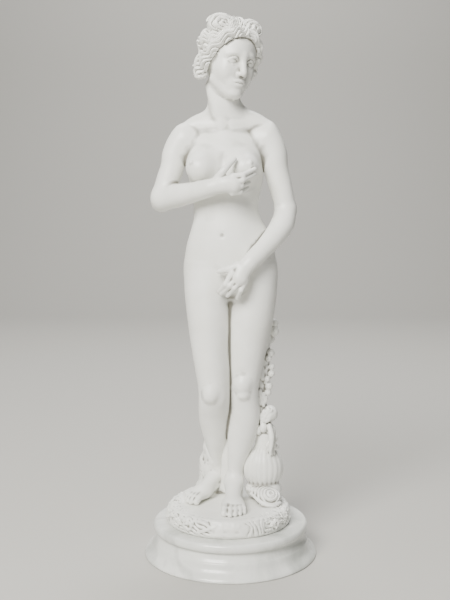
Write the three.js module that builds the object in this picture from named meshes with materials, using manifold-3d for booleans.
// Marble statuette of a standing figure in the traditional modest stance, on a round turned plinth.
// Millimetres, +Z up, the figure's front towards -Y, origin at the centre of the plinth's underside.
import * as THREE from 'three'
import { mergeVertices } from 'three/addons/utils/BufferGeometryUtils.js'
import Module from 'manifold-3d'

const PLINTH_FOOT_RADIUS = 62
const PLINTH_FOOT_HEIGHT = 16.6
const PLINTH_WAIST_RADIUS = 52.6
const PLINTH_STEP_RADIUS = 55.5
const PLINTH_HEIGHT = 23.6
const PLINTH_SIDES = 54

// the casting's own heights start this far above the underside of the plinth
const CASTING_LIFT = 1.2
const SEAT_GAP = 0.3
const MOUND_AT_X = -1.4
const MOUND_RADIUS = 44.8
const MOUND_TOP = 35

const HEAD_AT = [-0.6, -3, 345]
const HEAD_TURN = [33, 8, 6]
const HAIR_CENTRE = [0, 4.5, 6.5]
const HAIR_RADII = [19.6, 21.2, 18.8]
const LOCKS_EACH_SIDE = 6
const LOCK_RADIUS = 3.1

const NEIGHBOUR_INSET = 0.9
const TINY_EDGE = 0.05
const STATUE_TRIANGLES = 7900

const wasm = await Module()
wasm.setup()

const vec = (list) => new THREE.Vector3(...list)
const { clamp, degToRad } = THREE.MathUtils

// ---- forms: functions of a point, negative inside and positive outside ----

// a turn by yaw about Z, pitch about X and roll about Y, in degrees
function turning([yaw, pitch, roll]) {
  const euler = new THREE.Euler(degToRad(pitch), degToRad(roll), degToRad(yaw), 'ZXY')
  return new THREE.Matrix4().makeRotationFromEuler(euler)
}

function limb(a, b, ra, rb) {
  const start = vec(a)
  const along = vec(b).sub(start)
  const length2 = along.lengthSq()
  const q = vec([0, 0, 0])
  return (p) => {
    q.copy(p).sub(start)
    const t = clamp(q.dot(along) / length2, 0, 1)
    return q.addScaledVector(along, -t).length() - (ra + (rb - ra) * t)
  }
}

function egg(centre, radii, turn = [0, 0, 0]) {
  const toOwn = turning(turn).invert()
  const c = vec(centre)
  const q = vec([0, 0, 0])
  return (p) => {
    q.copy(p).sub(c).applyMatrix4(toOwn)
    const k0 = Math.hypot(q.x / radii[0], q.y / radii[1], q.z / radii[2])
    const k1 = Math.hypot(q.x / radii[0] ** 2, q.y / radii[1] ** 2, q.z / radii[2] ** 2)
    return (k0 * (k0 - 1)) / (k1 + 1e-9)
  }
}

// a smooth curve through rows of numbers whose first entry is the place along it
function rowAt(rows, at) {
  const last = rows.length - 1
  const z = clamp(at, rows[0][0], rows[last][0])
  let i = 0
  while (i < last - 1 && z > rows[i + 1][0]) i += 1
  const slope = (k, j) => {
    const low = rows[Math.max(k - 1, 0)]
    const high = rows[Math.min(k + 1, last)]
    return (high[j] - low[j]) / (high[0] - low[0])
  }
  const h = rows[i + 1][0] - rows[i][0]
  const t = (z - rows[i][0]) / h
  return rows[i].map((start, j) => {
    const end = rows[i + 1][j]
    const blend = t * t * (3 - 2 * t)
    const lift = (t ** 3 - 2 * t * t + t) * slope(i, j) + (t ** 3 - t * t) * slope(i + 1, j)
    return j === 0 ? z : start + (end - start) * blend + h * lift
  })
}

// an upright form from rows of [height, centre x, centre y, half width, depth in front, depth behind]
function column(rows) {
  return (p) => {
    const [z, cx, cy, half, front, behind] = rowAt(rows, p.z)
    const deep = p.y < cy ? front : behind
    const x = (p.x - cx) / half
    const y = (p.y - cy) / deep
    const k0 = Math.hypot(x, y)
    const k1 = Math.hypot(x / half, y / deep)
    const side = k0 < 0.3 ? -0.6 * Math.min(half, deep) : (k0 * (k0 - 1)) / k1
    const above = Math.abs(p.z - z)
    if (above === 0) return side
    return side > 0 ? Math.hypot(side, above) : Math.max(side, above)
  }
}

function smoothMin(a, b, fillet) {
  const h = Math.max(fillet - Math.abs(a - b), 0) / fillet
  return Math.min(a, b) - (h * h * fillet) / 4
}

const blend = (fillet, ...forms) => (p) => forms.reduce((d, form) => smoothMin(d, form(p), fillet), 1e3)

const carve = (fillet, body, ...tools) => (p) => (
  tools.reduce((d, tool) => -smoothMin(-d, tool(p), fillet), body(p)))

// two forms run together with one fillet close to a place and another away from it
function blendNear(near, far, place, inner, outer, a, b) {
  const c = vec(place)
  return (p) => {
    const t = clamp((p.distanceTo(c) - inner) / (outer - inner), 0, 1)
    return smoothMin(a(p), b(p), near + (far - near) * t * t * (3 - 2 * t))
  }
}

const drawnIn = (form) => (p) => form(p) + NEIGHBOUR_INSET

function smoothPath(places, steps) {
  const curve = new THREE.CatmullRomCurve3(places.map(vec), false, 'catmullrom', 0.5)
  return curve.getPoints(steps * (places.length - 1))
}

// a run of limbs along a smooth path
function cord(places, radii, fillet = 1) {
  const path = smoothPath(places, 3).map((p) => p.toArray())
  const rows = radii.map((r, i) => [i / (radii.length - 1), r])
  const radiusAt = (i) => rowAt(rows, i / (path.length - 1))[1]
  return blend(fillet, ...path.slice(1).map((p, i) => limb(path[i], p, radiusAt(i), radiusAt(i + 1))))
}

const bothSides = (make) => [make(-1), make(1)]

// ---- solids from three.js geometries ----

function toSolid(geometry) {
  geometry.deleteAttribute('normal')
  geometry.deleteAttribute('uv')
  const merged = mergeVertices(geometry, 1e-4)
  const corners = merged.index.array
  const triangles = []
  for (let i = 0; i < corners.length; i += 3) {
    const [a, b, c] = [corners[i], corners[i + 1], corners[i + 2]]
    if (a !== b && b !== c && c !== a) triangles.push(a, b, c)
  }
  const vertProperties = new Float32Array(merged.attributes.position.array)
  const triVerts = new Uint32Array(triangles)
  return new wasm.Manifold(new wasm.Mesh({ numProp: 3, vertProperties, triVerts }))
}

function toMesh(name, solid, material) {
  const { vertProperties, triVerts } = solid.getMesh()
  const geometry = new THREE.BufferGeometry()
  geometry.setAttribute('position', new THREE.BufferAttribute(new Float32Array(vertProperties), 3))
  geometry.setIndex(new THREE.BufferAttribute(new Uint32Array(triVerts), 1))
  geometry.computeVertexNormals()
  const mesh = new THREE.Mesh(geometry, material)
  mesh.name = name
  return mesh
}

const joined = (solids) => solids.reduce((all, solid) => all.add(solid))

// a smallest-first queue of [cost, ...] entries
class Queue {
  entries = []

  push(entry) {
    const list = this.entries
    let i = list.push(entry) - 1
    while (i > 0) {
      const parent = (i - 1) >> 1
      if (list[parent][0] <= entry[0]) break
      list[i] = list[parent]
      i = parent
    }
    list[i] = entry
  }

  pop() {
    const list = this.entries
    const top = list[0]
    const last = list.pop()
    if (list.length === 0) return top
    let i = 0
    for (;;) {
      let child = 2 * i + 1
      if (child >= list.length) break
      if (child + 1 < list.length && list[child + 1][0] < list[child][0]) child += 1
      if (list[child][0] >= last[0]) break
      list[i] = list[child]
      i = child
    }
    list[i] = last
    return top
  }
}

// a solid with fewer triangles: the edges whose loss shows least are closed up first
function lightened(solid, target) {
  const mesh = solid.getMesh()
  const places = []
  for (let i = 0; i < mesh.vertProperties.length; i += 3) places.push(vec(mesh.vertProperties.slice(i, i + 3)))
  const faces = []
  for (let i = 0; i < mesh.triVerts.length; i += 3) faces.push(Array.from(mesh.triVerts.slice(i, i + 3)))
  const around = places.map(() => new Set())
  const bends = places.map(() => new Float64Array(10))
  const changes = places.map(() => 0)
  const [u, v] = [vec([0, 0, 0]), vec([0, 0, 0])]
  const normalOf = ([a, b, c], out) => out.crossVectors(u.subVectors(b, a), v.subVectors(c, a))
  const n = vec([0, 0, 0])
  faces.forEach((face, f) => {
    normalOf(face.map((i) => places[i]), n)
    const area = n.length() / 2
    n.normalize()
    const d = -n.dot(places[face[0]])
    const plane = [n.x, n.y, n.z, d]
    face.forEach((i) => {
      around[i].add(f)
      let k = 0
      for (let row = 0; row < 4; row += 1) {
        for (let col = row; col < 4; col += 1) {
          bends[i][k] += (area + 0.02) * plane[row] * plane[col]
          k += 1
        }
      }
    })
  })
  const misfit = (q, p) => q[0] * p.x * p.x + 2 * q[1] * p.x * p.y + 2 * q[2] * p.x * p.z + 2 * q[3] * p.x
    + q[4] * p.y * p.y + 2 * q[5] * p.y * p.z + 2 * q[6] * p.y + q[7] * p.z * p.z + 2 * q[8] * p.z + q[9]
  const queue = new Queue()
  const neighbours = (i) => new Set([...around[i]].flatMap((f) => faces[f]).filter((j) => j !== i))
  const offer = (a, b) => {
    const q = bends[a].map((value, k) => value + bends[b][k])
    const grid = new THREE.Matrix3(q[0], q[1], q[2], q[1], q[4], q[5], q[2], q[5], q[7])
    const options = [places[a], places[b], places[a].clone().lerp(places[b], 0.5)]
    const size = q[0] + q[4] + q[7]
    if (Math.abs(grid.determinant()) > 1e-4 * size ** 3) {
      const best = vec([-q[3], -q[6], -q[8]]).applyMatrix3(grid.invert())
      if (best.distanceTo(options[2]) < places[a].distanceTo(places[b])) options.push(best)
    }
    const length = places[a].distanceTo(places[b])
    const scored = options.map((p) => [misfit(q, p) + 1e-5 * length * length, p])
    const [cost, place] = scored.reduce((low, option) => (option[0] < low[0] ? option : low))
    queue.push([cost, a, b, changes[a], changes[b], place.clone(), q])
  }
  const [before, after] = [vec([0, 0, 0]), vec([0, 0, 0])]
  const keepsFacing = (i, other, place) => [...around[i]].every((f) => {
    const face = faces[f]
    if (face.includes(other)) return true
    normalOf(face.map((j) => places[j]), before)
    const moved = face.map((j) => (j === i ? place : places[j]))
    normalOf(moved, after)
    const longest = Math.max(...moved.map((p, k) => p.distanceToSquared(moved[(k + 1) % 3])))
    return after.length() > 0.04 * longest && before.dot(after) > 0.3 * before.length() * after.length()
  })
  places.forEach((_, a) => neighbours(a).forEach((b) => a < b && offer(a, b)))
  let left = faces.length
  while (left > target && queue.entries.length > 0) {
    const [, a, b, changeA, changeB, place, q] = queue.pop()
    if (changes[a] !== changeA || changes[b] !== changeB) continue
    const nearA = neighbours(a)
    const shared = [...neighbours(b)].filter((i) => nearA.has(i))
    if (shared.length !== 2 || !keepsFacing(a, b, place) || !keepsFacing(b, a, place)) continue
    for (const f of around[b]) {
      if (faces[f].includes(a)) {
        faces[f].forEach((i) => i !== b && around[i].delete(f))
        faces[f] = null
        left -= 1
      } else {
        faces[f] = faces[f].map((i) => (i === b ? a : i))
        around[a].add(f)
      }
    }
    around[b].clear()
    changes[a] += 1
    changes[b] += 1
    places[a] = place
    bends[a] = q
    neighbours(a).forEach((i) => offer(a, i))
  }
  const geometry = new THREE.BufferGeometry().setFromPoints(places)
  geometry.setIndex(faces.filter((face) => face).flat())
  return toSolid(geometry)
}

function moveVertices(geometry, move) {
  const position = geometry.attributes.position
  const p = vec([0, 0, 0])
  for (let i = 0; i < position.count; i += 1) {
    p.fromBufferAttribute(position, i)
    move(p, i)
    position.setXYZ(i, p.x, p.y, p.z)
  }
  return geometry
}

// how far a form's surface is from a point inside it, along a direction
function reachOf(form, from, direction, limit) {
  const p = vec([0, 0, 0])
  const at = (t) => form(p.copy(from).addScaledVector(direction, t))
  let inner = 0
  while (inner < limit && at(inner + 0.6) < 0) inner += 0.6
  let outer = inner + 0.6
  for (let i = 0; i < 12; i += 1) {
    const middle = (inner + outer) / 2
    if (at(middle) < 0) inner = middle
    else outer = middle
  }
  return Math.min(inner, limit)
}

// a sphere drawn over a form, outwards from a centre; crowding brings its meridians round to the front
function skinOver(form, centre, sides, rings, crowding = 0) {
  const c = vec(centre)
  const ball = new THREE.SphereGeometry(1, sides, rings).rotateX(Math.PI / 2)
  return toSolid(moveVertices(ball, (p) => {
    const level = Math.hypot(p.x, p.y)
    const turn = Math.atan2(p.x, -p.y)
    const crowded = turn - crowding * Math.sin(turn)
    p.set(Math.sin(crowded) * level, -Math.cos(crowded) * level, p.z).normalize()
    p.multiplyScalar(reachOf(form, c, p, 60)).add(c)
  }))
}

// a sphere's rows drawn along stations of [x, y, z, limit, inset], each out to the form less the inset
function skinAlong(form, stations, sides, towards = [1, 0, 0]) {
  const rows = stations.length + 1
  const points = stations.map(([x, y, z]) => vec([x, y, z]))
  const tube = new THREE.SphereGeometry(1, sides, rows).rotateX(Math.PI / 2)
  const across = vec([0, 0, 0])
  const up = vec([0, 0, 0])
  const along = vec([0, 0, 0])
  const way = vec([0, 0, 0])
  return toSolid(moveVertices(tube, (p, i) => {
    const row = Math.floor(i / (sides + 1))
    const k = clamp(row - 1, 0, points.length - 1)
    along.copy(points[Math.min(k + 1, points.length - 1)]).sub(points[Math.max(k - 1, 0)]).normalize()
    across.copy(vec(towards)).addScaledVector(along, -across.copy(vec(towards)).dot(along)).normalize()
    up.crossVectors(along, across)
    const turn = Math.atan2(p.y, p.x)
    if (row === 0 || row === rows) {
      p.copy(points[k])
      return
    }
    way.copy(across).multiplyScalar(Math.cos(turn)).addScaledVector(up, -Math.sin(turn))
    const [, , , limit, inset = 0] = stations[k]
    p.copy(points[k]).addScaledVector(way, reachOf(form, points[k], way, limit) - inset)
  }))
}

// a capsule bent along a smooth curve, with its radius given along the way
function bent(places, radii, sides = 8, steps = 6, flat = 1) {
  const curve = new THREE.CatmullRomCurve3(places.map(vec), false, 'centripetal')
  const frames = curve.computeFrenetFrames(steps, false)
  const capsule = new THREE.CapsuleGeometry(1, 1, 2, sides, steps)
  const rows = radii.map((r, i) => [i / (radii.length - 1), r])
  const centre = vec([0, 0, 0])
  return toSolid(moveVertices(capsule, (p) => {
    const along = clamp(p.y + 0.5, 0, 1)
    const beyond = p.y + 0.5 - along
    const k = Math.round(along * steps)
    const r = rowAt(rows, along)[1]
    const x = p.x * r
    const z = p.z * r * flat
    curve.getPointAt(along, centre)
    p.copy(centre).addScaledVector(frames.normals[k], x).addScaledVector(frames.binormals[k], -z)
    p.addScaledVector(frames.tangents[k], beyond * r)
  }))
}

function eggSolid(centre, radii, turn = [0, 0, 0], sides = 12, rings = 8) {
  const ball = new THREE.SphereGeometry(1, sides, rings).scale(...radii)
  return toSolid(ball.applyMatrix4(turning(turn)).translate(...centre))
}

function placed(solid, at, turn, size = 1) {
  const matrix = turning(turn).scale(vec([size, size, size])).setPosition(...at)
  return solid.transform(matrix.elements)
}

// ---- the figure ----

const TORSO = [
  [183, 0.2, 2, 12, 8, 9],
  [189, 0.2, 2.5, 25, 14, 16],
  [197, 0.1, 3, 31.6, 17.4, 17.6],
  [206, -0.1, 3, 32.8, 18.6, 18.8],
  [214, -0.4, 3, 31.8, 19.6, 18.6],
  [222, -0.6, 3, 30, 19.8, 17.6],
  [230, -1, 3, 27.2, 19.4, 15.4],
  [238, -2.4, 3, 23.9, 18.6, 13.8],
  [246, -3.4, 3, 22.7, 18, 13.3],
  [255, -3.3, 3.2, 23.8, 18, 14],
  [264, -3.3, 3.6, 25.7, 18.2, 15.2],
  [276, -4.2, 4.4, 27.2, 18, 16.4],
  [288, -4.3, 5.4, 28.5, 15.4, 15.6],
  [297, -4.2, 6.4, 27, 11.6, 12.4],
  [303, -3.6, 7, 17, 8, 9],
]

const LEFT_LEG = [
  [50, 3.2, 7.5, 5.2, 5.4, 6],
  [58, 3.9, 6.8, 5.7, 5.8, 6.6],
  [66, 5.3, 5.8, 7.1, 6.6, 8],
  [76, 7.2, 5, 9.3, 8, 10.4],
  [86, 8.6, 4, 10.6, 8.8, 12.6],
  [96, 9.6, 3, 11.3, 9.2, 13],
  [104, 9.8, 2, 11.1, 9.4, 12],
  [112, 9.4, 0.6, 10.6, 10, 10.6],
  [120, 9.3, 0, 10.8, 11, 10.4],
  [130, 10.4, 0, 11.8, 11.8, 12],
  [144, 11.9, 0.6, 13.5, 14, 14.2],
  [160, 13.8, 1.2, 15.3, 16.2, 16.6],
  [176, 15.3, 2, 16.4, 17.4, 18],
  [192, 16.2, 3, 16.8, 17.4, 18.4],
  [206, 16, 3, 14, 14, 16],
]

const RIGHT_LEG = [
  [52, -10.2, 22.8, 5, 5.2, 5.8],
  [60, -10.2, 20, 5.2, 5.8, 6.2],
  [68, -10.5, 16.4, 6.3, 6.8, 7.4],
  [76, -10.7, 12.4, 8.2, 8, 9.4],
  [86, -11.4, 7.4, 9.8, 8.8, 11],
  [96, -12, 2.6, 10.8, 9.4, 11.6],
  [105, -11.9, -2.4, 11, 10.4, 11.8],
  [114, -11.8, -5.8, 11, 11, 11],
  [122, -12.1, -6.6, 11.3, 11.8, 10.8],
  [132, -13, -5, 12.2, 13, 12],
  [144, -14.2, -3, 13.1, 14.4, 13.4],
  [160, -15.2, -0.6, 14.6, 16.2, 15.6],
  [176, -15.9, 1.4, 15.8, 17.2, 17.4],
  [192, -16, 3, 16.8, 17.4, 18.4],
  [206, -16, 3, 14, 14, 16],
]

const SHOULDERS = [[-36, 4, 291], [28, 3, 291]]
const RIGHT_UPPER_ARM = [
  [-22, 6, 296], [-33, 5.2, 293.6], [-39, 4.6, 284.5],
  [-41, 4.2, 275], [-44.4, 3.8, 265], [-47.6, 3.6, 253.5],
]
const LEFT_UPPER_ARM = [
  [14, 5.4, 296], [25.4, 4.6, 294], [30.4, 4.2, 285],
  [31.8, 4, 274], [35, 3.6, 262], [39, 3.6, 246],
]
const ARMS = [
  {
    upper: RIGHT_UPPER_ARM,
    upperRadii: [7, 9.6, 8.8, 8.3, 8.1, 8.4],
    fore: [[-47.2, 4, 253], [-38, -4, 254.2], [-26, -14.6, 256.2], [-14, -24.6, 259]],
    foreRadii: [8.8, 8.3, 7, 5.2],
    elbow: [[-50, 7, 249.6], [6, 5.4, 6]],
  },
  {
    upper: LEFT_UPPER_ARM,
    upperRadii: [7, 9.6, 9.2, 8.7, 8.2, 7.2],
    fore: [[38.8, 3.8, 244], [36.2, -3, 234.6], [27.6, -11.6, 223], [13.8, -21, 209.2]],
    foreRadii: [7.5, 8.3, 7.1, 5.2],
    elbow: [[41, 6.4, 240.6], [5, 4.8, 5.4]],
  },
]

const kneecaps = [
  [egg([-14.8, -14.4, 115.4], [6.4, 4.6, 6.6], [-14, 0, 0]), egg([-7.6, -10, 114], [4.4, 5, 7])],
  [egg([8.4, -8.6, 121.6], [5.4, 4.2, 6]), egg([9, -8.6, 114.2], [3.4, 2.8, 3.2])],
]
const legForms = [RIGHT_LEG, LEFT_LEG].map((rows, i) => blend(3.5, column(rows), ...kneecaps[i]))
const armForms = ARMS.map(({ upper, upperRadii, fore, foreRadii, elbow }) => blend(
  3, cord(upper, upperRadii, 0.2), cord(fore, foreRadii, 0.2), egg(...elbow)))

function trunkForm() {
  const cheeks = [egg([-13.6, 12.6, 194.6], [14.6, 13.8, 16.4]), egg([14, 12.6, 195.4], [14.6, 13.8, 16.4])]
  const slopes = [
    limb([-10, 8, 311.5], [-32, 5, 299.6], 5, 5.8),
    limb([3, 8, 314], [26, 4.5, 301.4], 5.2, 5.8),
  ]
  const neck = cord([[-2.4, 9, 298], [-3.4, 7, 309], [-4.8, 4, 320], [-5, 2, 332]], [12.4, 11.6, 11.2, 11])
  const breasts = [
    egg([-19.6, -10, 272.8], [11.4, 12.2, 10.6], [-14, 14, 0]),
    egg([8, -11.8, 273.2], [11.4, 12.2, 10.6], [12, 14, 0]),
  ]
  const collar = [
    limb([-7, -2.6, 303], [-28, 2.4, 302], 1.2, 1.1),
    limb([1, -2.6, 303], [20, 2.4, 302.4], 1.2, 1.1),
  ]
  const back = limb([-4, 23.5, 286], [-1.5, 19, 228], 2.2, 2.6)
  const cleft = limb([0.2, 28, 204], [0.2, 25, 178], 1.4, 2.2)
  let form = blend(7, column(TORSO), ...cheeks, ...slopes, neck)
  form = blend(8, form, ...breasts)
  form = blend(5, form, ...collar)
  return carve(3, carve(4, form, back), egg([-6.2, -18.6, 227], [1.3, 2.6, 1.9]), cleft)
}

// the skins' rows stand closest where the form turns quickest
const trunkHeights = [
  326, 322, 319, 316.5, 314, 311.5, 309, 306.5, 304, 301.5, 299, 296, 293, 290, 287, 284, 281, 278, 275,
  272, 269, 266, 262, 257, 251, 244, 237, 231, 228.5, 226, 223, 217, 210, 203, 197, 192, 188, 184,
]
const legHeights = [
  204, 198, 192, 187, 182, 177, 171, 164, 156, 147, 138, 131, 126, 122, 118, 114, 110, 106, 102, 97, 91,
  85, 79, 73, 67, 61, 56, 51,
]

// the trunk, the legs and the arms are skinned one by one, each over its own form run together with its
// neighbours' forms drawn in a little, so that the skins cross cleanly in the fillets between them
function body() {
  const trunk = trunkForm()
  const inTrunk = drawnIn(trunk)
  const upperArms = ARMS.map(({ upper, upperRadii }) => (
    drawnIn(cord(upper.slice(0, 3), upperRadii.slice(0, 3), 0.2))))
  const atShoulder = (i, all, arm) => blendNear(9, 0.8, SHOULDERS[i], 9, 24, all, arm)
  const alongColumn = (rows, heights) => heights.map((z) => {
    const [, cx, cy, half] = rowAt(rows, z)
    if (rows === TORSO) return [cx, cy, z, 33, Math.max(192 - z, 0) * 0.14]
    return [cx, cy, z, half + 8, Math.max(z - 195, 0) * 0.14]
  })
  const hips = blend(6, trunk, ...legForms.map(drawnIn))
  const shoulders = upperArms.reduce((all, arm, i) => atShoulder(i, all, arm), hips)
  const trunkSkin = skinAlong(shoulders, alongColumn(TORSO, trunkHeights), 48)
  const overLegs = (p) => trunk(p) + NEIGHBOUR_INSET * clamp((p.z - 186) / 12, 0, 1)
  const legSkins = [RIGHT_LEG, LEFT_LEG].map((rows, i) => skinAlong(
    blend(6, overLegs, legForms[i]), alongColumn(rows, legHeights), 24))
  const armSkins = ARMS.map(({ upper, fore }, i) => {
    const elbow = upper[5].map((value, k) => (value + fore[0][k]) / 2)
    const path = smoothPath([...upper.slice(0, 5), elbow, ...fore.slice(1)], 4)
    const form = atShoulder(i, inTrunk, armForms[i])
    return skinAlong(form, path.map((p) => [...p.toArray(), 12.5]).reverse(), 18, [0, -1, 0])
  })
  return joined([trunkSkin, ...legSkins, ...armSkins])
}

// toes from the big one outwards: [across, forward, radius]
const TOES = [
  [-5.6, -38.5, 2.25], [-1.5, -39.5, 1.7], [1.9, -38, 1.6], [5, -35.6, 1.5], [7.8, -32.6, 1.4],
]

// a bare foot about its ankle, toes towards -y; side is 1 for a left foot and -1 for a right one
function foot(side, at, turn, size = 1) {
  const x = (value) => side * value
  const form = blend(4,
    egg([0, 6.5, -9.5], [5.8, 6.2, 6.4]),
    egg([x(-5.4), 0.5, -1], [2, 2.6, 2.6]),
    egg([x(5.2), 1.5, -2.4], [2, 2.6, 2.6]),
    limb([0, 3, 3], [0, 2, -8], 4.6, 5.5),
    limb([0, -1, -5], [x(-0.4), -22, -12], 5.8, 4),
    egg([0, -22, -12.2], [8, 7.5, 3.8]))
  const spine = [
    [10.5, -9.5], [8, -9], [3, -8], [-2, -8], [-8, -9.6], [-14, -11], [-20, -12], [-25, -12.4], [-28.4, -12.6],
  ]
  const body = skinAlong(form, spine.map(([y, z]) => [0, y, z, 14]), 14)
  const toes = TOES.map(([across, forward, r]) => {
    const root = [x(across * 0.86), -25, -12.3]
    const joint = [x(across * 0.96), (forward - 26) / 2 - 0.6, -11.9]
    return bent([root, joint, [x(across), forward + r, r - 15.9]], [r + 0.5, r + 0.1, r], 6, 3)
  })
  return placed(joined([body, ...toes]), at, turn, size)
}

// fingers as [root, middle joint, tip], from the index to the little one
const REACHING_FINGERS = [
  [[1.2, -29, 266.1], [8.2, -29, 267.2], [16.1, -22.6, 271.5]],
  [[1.2, -30, 261.9], [7.7, -29.6, 263.6], [15.9, -22, 268]],
  [[0.8, -29, 258.7], [6.8, -28.6, 260], [12.2, -21.6, 262.7]],
  [[0.8, -27.6, 255.6], [6.3, -26.6, 256.2], [11, -20.8, 259]],
]
const HANGING_FINGERS = [
  [[1.1, -25, 201.8], [-3.6, -25.6, 193.8], [-8.3, -20, 188.5]],
  [[3.9, -25.6, 198.5], [-0.7, -26.2, 192.9], [-6.5, -20.4, 187]],
  [[7.1, -25.4, 197.2], [2.4, -26, 191.4], [-2.3, -20.4, 185.6]],
  [[10.3, -24.4, 196.9], [6.9, -24.8, 189.9], [4.4, -19.8, 184]],
]
const FINGER_RADII = [2.5, 2.1, 1.5]
const THUMB_RADII = [3, 2.3, 1.5]

const hands = () => [
  bent([[-20.8, -20, 257.6], [-11.5, -25.6, 259.3], [-4.3, -27.8, 261.1], [1.6, -28, 261]],
    [5.4, 5.2, 5.9, 6.2], 14, 7, 0.8),
  ...REACHING_FINGERS.map((finger) => bent(finger, FINGER_RADII, 6, 5)),
  bent([[-10, -26.6, 263.6], [-4.3, -28.6, 270.8], [2.5, -24, 278]], THUMB_RADII, 7, 5),
  bent([[18.6, -17.6, 213.6], [12.6, -21.8, 207.8], [8, -23.8, 202.4], [5.8, -24.6, 198]],
    [5.4, 5.2, 5.8, 6], 14, 7, 0.8),
  ...HANGING_FINGERS.map((finger) => bent(finger, FINGER_RADII, 6, 5)),
  bent([[5.4, -23.5, 206.6], [-1.6, -24, 204], [-8.4, -20, 202.2]], THUMB_RADII, 7, 5),
]

// the head about its own centre, facing -y: 48 from the chin at z = -24 to the crown at z = 24
const FACE = [
  [-24, 0, -7, 3.4, 5.6, 3],
  [-21.5, 0, -6, 7, 8.6, 6],
  [-18, 0, -5, 9.8, 9.6, 8],
  [-14, 0, -4, 11.8, 11.2, 9],
  [-9, 0, -3, 13.4, 12.8, 10],
  [-4, 0, -2, 14.6, 14, 10],
  [1, 0, -2, 15, 14.2, 10],
  [6, 0, -2, 15.2, 15.2, 10],
  [11, 0, -1, 14.8, 15.8, 10],
  [16, 0, 0, 13, 14.6, 10],
]

function head() {
  const jaw = bothSides((s) => limb([s * 9.6, 1, -12.5], [s * 3, -9.5, -20.5], 3.2, 2.6))
  const cheeks = bothSides((s) => egg([s * 8, -9.6, -6.6], [5.4, 5.6, 6.6]))
  let form = blend(4, egg([0, 4, 5.4], [16.4, 19.6, 18.4]), column(FACE), ...jaw, ...cheeks)
  form = blend(2.6, form, egg([0, -12.6, -20.4], [4.2, 3.4, 3.4]))
  form = carve(2.6, form, ...bothSides((s) => egg([s * 6.9, -17.4, 0.8], [4.4, 3, 3], [s * 18, 0, 0])))
  form = blend(0.6, form, ...bothSides((s) => egg([s * 6.7, -11.9, 0.4], [3.9, 3.5, 3.4])))
  const bridge = [limb([0, -16.2, 5], [0, -18, -4], 1.9, 2), limb([0, -18, -4], [0, -19.2, -7.2], 2, 2)]
  const nose = blend(1.2, ...bridge, ...bothSides((s) => egg([s * 2.2, -16.8, -7.9], [1.35, 2, 1.5])))
  form = blend(2.4, form, nose)
  form = blend(3, form, egg([0, -12.4, -13.8], [6.6, 4, 5]))
  const lips = bothSides((s) => egg([s * 1.9, -15.5, -12.5], [3, 1.4, 1.2]))
  form = blend(0.9, form, ...lips, egg([0, -15.4, -15], [3.6, 1.7, 1.45]))
  return skinOver(form, [0, -1, -1], 34, 32, 0.5)
}

// one lock of hair from the parting down over the temple to the nape; order 0 is nearest the face
function lock(side, order) {
  const f = order / (LOCKS_EACH_SIDE - 1)
  const start = degToRad(44 + 92 * f)
  const mix = (a, b) => a.map((value, i) => value + (b[i] - value) * f)
  const towards = [
    [0.05, -Math.cos(start), Math.sin(start)],
    mix([0.8, -0.52, 0.3], [0.55, 0.45, 0.75]),
    mix([0.95, 0.12, -0.3], [0.75, 0.75, 0.25]),
    mix([0.55, 0.75, -0.62], [0.35, 0.98, -0.1]),
  ].map(([x, y, z]) => vec([x * side, y, z]).normalize())
  const path = new THREE.CatmullRomCurve3(towards)
  const places = []
  for (let i = 0; i <= 10; i += 1) {
    const u = i / 10
    const way = path.getPoint(u).normalize()
    const across = path.getTangent(u).cross(way).normalize()
    way.addScaledVector(across, 0.09 * Math.sin(2 * Math.PI * 1.9 * u + 0.5 * order)).normalize()
    places.push([0, 1, 2].map((k) => HAIR_CENTRE[k] + HAIR_RADII[k] * way.getComponent(k)))
  }
  return bent(places, [0.75, 1, 1, 1, 0.85].map((r) => r * LOCK_RADIUS), 7, 10)
}

// a spiral curl lying across the way it faces
function curl(at, radius, thick, turns, facing, start = 0) {
  const matrix = turning(facing)
  const count = Math.round(turns * 6)
  const places = []
  for (let i = 0; i <= count; i += 1) {
    const turn = start + (2 * Math.PI * turns * i) / count
    const r = radius * (1 - (0.72 * i) / count)
    const p = vec([Math.cos(turn) * r, (-thick * 0.5 * i) / count, Math.sin(turn) * r]).applyMatrix4(matrix)
    places.push([p.x + at[0], p.y + at[1], p.z + at[2]])
  }
  return bent(places, [thick, thick * 0.9, thick * 0.7], 6, count * 2)
}

function hair() {
  const locks = bothSides((s) => Array.from({ length: LOCKS_EACH_SIDE }, (_, i) => lock(s, i))).flat()
  return joined([
    eggSolid([0, 6.5, 7.8], [19.4, 20.8, 19], [0, 0, 0], 16, 12),
    ...bothSides((s) => eggSolid([s * 15.2, 8.4, -5.4], [5, 9.6, 9.6], [0, 0, 0], 12, 10)),
    ...bothSides((s) => curl([s * 17.6, 7, -10.6], 3.2, 1.9, 1.2, [s * 76, 0, 0])),
    eggSolid([0, 23, -2], [10, 6.5, 9]),
    eggSolid([-11.6, 4, 24.2], [9, 6.6, 6.4], [0, 0, -12]),
    eggSolid([10.4, -4, 25.8], [7.4, 6, 5.4], [0, 0, 14]),
    curl([-11.6, -1.4, 25.8], 5.8, 2.2, 1.4, [0, -14, 0]),
    curl([-18, 4.6, 21.8], 3.6, 1.8, 1.2, [-60, 0, 0]),
    curl([11, -9, 26], 4.6, 2, 1.4, [0, -14, 0], Math.PI),
    curl([16.6, -4, 22.8], 3.4, 1.7, 1.2, [60, 0, 0]),
    curl([5, 27, -2], 4.6, 2, 1.2, [180, 0, 0]),
    curl([-5, 27, -2], 4.6, 2, 1.2, [180, 0, 0], Math.PI),
    bent([[-7, 0.5, 26.6], [-1, -2.4, 27], [8, -4, 26.2]], [4.4, 4.6, 4.2], 8, 3),
    ...locks,
  ])
}

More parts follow.
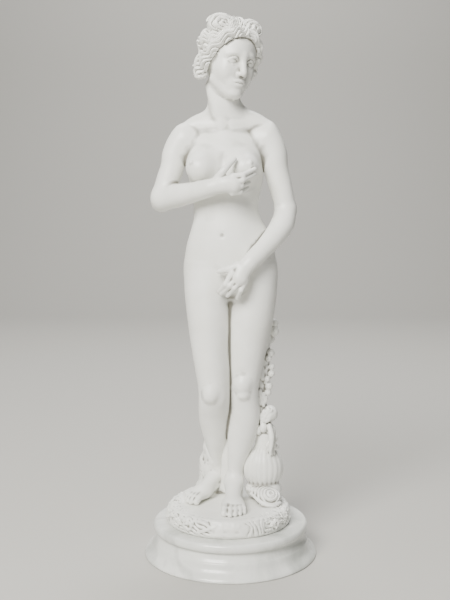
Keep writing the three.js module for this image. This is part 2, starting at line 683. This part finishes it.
function figure() {
  return joined([
    body(),
    foot(-1, [-10, 23, 54], [-33, 5, 0]),
    foot(1, [2.4, 4, 51.5], [-2, 0, 0], 1.05),
    ...hands(),
    bent([[-3.2, 8, 306], [-4.8, 4, 320], [-4.8, 1, 333]], [11.5, 11.1, 11], 16, 4),
    placed(head(), HEAD_AT, HEAD_TURN),
    placed(hair(), HEAD_AT, HEAD_TURN),
  ])
}

// ---- the support, the mound and the plinth ----

// a lobed leaf in its own xz plane, growing up from its stalk at the origin
function leaf(at, turn, size) {
  const blade = new THREE.SphereGeometry(1, 14, 6)
  moveVertices(blade, (p) => {
    const way = Math.atan2(p.x, p.z)
    const lobed = 1 + 0.16 * Math.cos(7 * way)
    p.set(p.x * 2.8 * lobed, p.y * 1.1, (p.z * lobed + 1) * 4.8)
  })
  return placed(toSolid(blade), at, turn, size)
}

function support() {
  const collar = [-2.4, -1.7, -1, -0.2, 0.6, 1.5].map((turn) => {
    const at = [24.6 + 6 * Math.cos(turn), 8.6 + 6 * Math.sin(turn), 86.5 - 2 * Math.cos(2 * turn)]
    return eggSolid(at, [2.8, 2.8, 3.8], [0, 0, 0], 8, 6)
  })
  const shell = new THREE.SphereGeometry(1, 20, 14)
  moveVertices(shell, (p) => {
    const rings = 1 + 0.07 * Math.cos(14 * Math.hypot(p.x - 0.5, p.z + 0.3))
    p.set(p.x * 12.4, p.y * 7 * rings, p.z * 5.6 * rings)
  })
  const stem = [[24.5, 9, 70], [25, 9, 86], [21, 10, 106], [22.4, 10, 124], [24.4, 9.4, 146], [28.6, 9, 161]]
  return joined([
    bent(stem, [7, 5.6, 4.8, 4.8, 4, 3.2], 10, 14),
    eggSolid([23.8, 9, 57.8], [15, 12.8, 16], [0, 0, 0], 20, 14),
    eggSolid([24, 7, 42], [13.4, 11, 7.4], [0, 0, 0], 14, 8),
    eggSolid([29, 0, 38], [8, 9, 4]),
    eggSolid([28, 7, 97.6], [5.8, 5.8, 5.8], [0, 0, 0], 14, 10),
    bent([[28, 0.8, 90], [29.4, -2, 82], [28.6, -3.4, 72]], [1.8, 2, 1], 6, 4),
    ...collar,
    eggSolid([31, 6, 79.4], [2.4, 2.4, 2.8], [0, 0, 0], 8, 6),
    eggSolid([31.8, 6, 73.6], [2, 2, 2], [0, 0, 0], 8, 6),
    leaf([25.6, 6.6, 120.4], [36, 0, 2], 1.8),
    leaf([25.8, 7, 124], [60, 0, 160], 1.2),
    leaf([27.4, 7.4, 149], [20, 0, 14], 1.2),
    eggSolid([28.6, 7, 141.6], [3, 3, 3.1], [0, 0, 0], 8, 6),
    eggSolid([27.2, 6.4, 118.4], [3, 3, 3], [0, 0, 0], 8, 6),
    eggSolid([26.6, 7, 113.6], [2.9, 2.9, 2.8], [0, 0, 0], 8, 6),
    eggSolid([31, 8.6, 160.6], [4, 3.6, 6], [0, 0, 0], 8, 6),
    placed(toSolid(shell), [24, -5, 41.6], [-4, 16, 22]),
  ])
}

// a place on the mound's front, at a distance x from its middle
const onFront = (x, z, out = 0) => [MOUND_AT_X + x, -Math.sqrt(MOUND_RADIUS ** 2 - x * x) - out, z]

function mound() {
  const low = PLINTH_HEIGHT + SEAT_GAP - CASTING_LIFT
  const edge = MOUND_RADIUS
  const profile = [
    [0, low], [edge - 1, low], [edge - 0.2, 24], [edge, 27], [edge - 0.4, 30.6], [edge - 1.8, 33.2],
    [edge - 4, 34.6], [edge - 7, MOUND_TOP], [30, MOUND_TOP], [0, MOUND_TOP],
  ].map(([r, z]) => new THREE.Vector2(r, z))
  const base = new THREE.LatheGeometry(profile, 44).rotateX(Math.PI / 2)
  moveVertices(base, (p) => {
    const r = Math.hypot(p.x, p.y)
    if (r < 37 || p.z < 28) return
    const turn = Math.atan2(p.y, p.x)
    const side = clamp((turn + Math.PI / 2) ** 2 * 1.4 - 0.6, 0, 1)
    const wave = side * Math.sin(11 * turn)
    p.z += 0.7 * wave
    p.multiply(vec([1 + 0.012 * wave, 1 + 0.012 * wave, 1]))
  })
  const folds = [[15, -1.6], [18.2, -0.6], [21.4, 0.6], [24.6, 1.8]].map(([x, drift]) => (
    bent([onFront(x, 33.4, -2.4), onFront(x + drift, 24.6, -0.4)], [1.5, 1.1], 6, 2)))
  const sprigs = [[29.4, 27, -30], [34, 28, 20], [38, 28.6, -14], [41.4, 27, 30]].map(([x, z, roll]) => {
    const yaw = THREE.MathUtils.radToDeg(Math.atan2(x, 41))
    return leaf(onFront(x, z, -1.2), [yaw, -22, roll], 0.9)
  })
  return joined([
    toSolid(base).translate([MOUND_AT_X, 0, 0]),
    curl(onFront(-26, 29.2, -0.4), 5, 1.5, 1.5, [-36, 0, 0]),
    curl(onFront(-35.5, 29.4, -0.4), 3.4, 1.3, 1.2, [-52, 0, 0], 2),
    ...folds,
    ...sprigs,
    bent([[-14.6, 29, 32], [-11.4, 17, 90]], [10, 6], 10, 5),
    bent([[-3, 15, 40], [-2.4, 9, 72], [-1, 2, 106]], [4.4, 3.6, 2.6], 8, 5),
    eggSolid([-24, 18, 35], [12, 12, 3]),
    eggSolid([-15, 28, 37], [11, 9, 7]),
  ])
}

function plinth(material) {
  const foot = PLINTH_FOOT_RADIUS
  const step = PLINTH_STEP_RADIUS
  const waist = PLINTH_WAIST_RADIUS
  const profile = [
    [0, 0], [foot - 0.5, 0], [foot, 0.5], [foot - 0.3, 1.8], [foot - 1.6, 3.2], [foot - 3.6, 4.8],
    [foot - 5.2, 7], [foot - 6.4, 9.6], [foot - 6.9, 10.8], [foot - 7.6, 12], [foot - 8.6, 13.6],
    [waist + 0.2, 15], [waist, PLINTH_FOOT_HEIGHT],
    [step - 1.2, 17.6], [step, 19.4], [step - 0.3, 21.4], [step - 1.8, 23], [step - 4, PLINTH_HEIGHT],
    [0, PLINTH_HEIGHT],
  ].map(([r, z]) => new THREE.Vector2(r, z))
  const turned = new THREE.LatheGeometry(profile, PLINTH_SIDES).rotateX(Math.PI / 2)
  const mesh = new THREE.Mesh(turned, material)
  mesh.name = 'plinth'
  return mesh
}

const castMarble = new THREE.MeshStandardMaterial({ color: 0xe9e7e1, roughness: 0.48, metalness: 0 })
const turnedMarble = new THREE.MeshStandardMaterial({ color: 0xdcdad6, roughness: 0.22, metalness: 0 })

// the figure, its support and the mound are one casting
const bodies = joined([figure(), support(), mound()]).simplify(TINY_EDGE).decompose()
const outer = bodies.reduce((big, body) => (body.volume() > big.volume() ? body : big))
const casting = lightened(outer, STATUE_TRIANGLES).translate([0, 0, CASTING_LIFT])

const statuette = new THREE.Group()
statuette.add(plinth(turnedMarble), toMesh('statue', casting, castMarble))

export default statuette
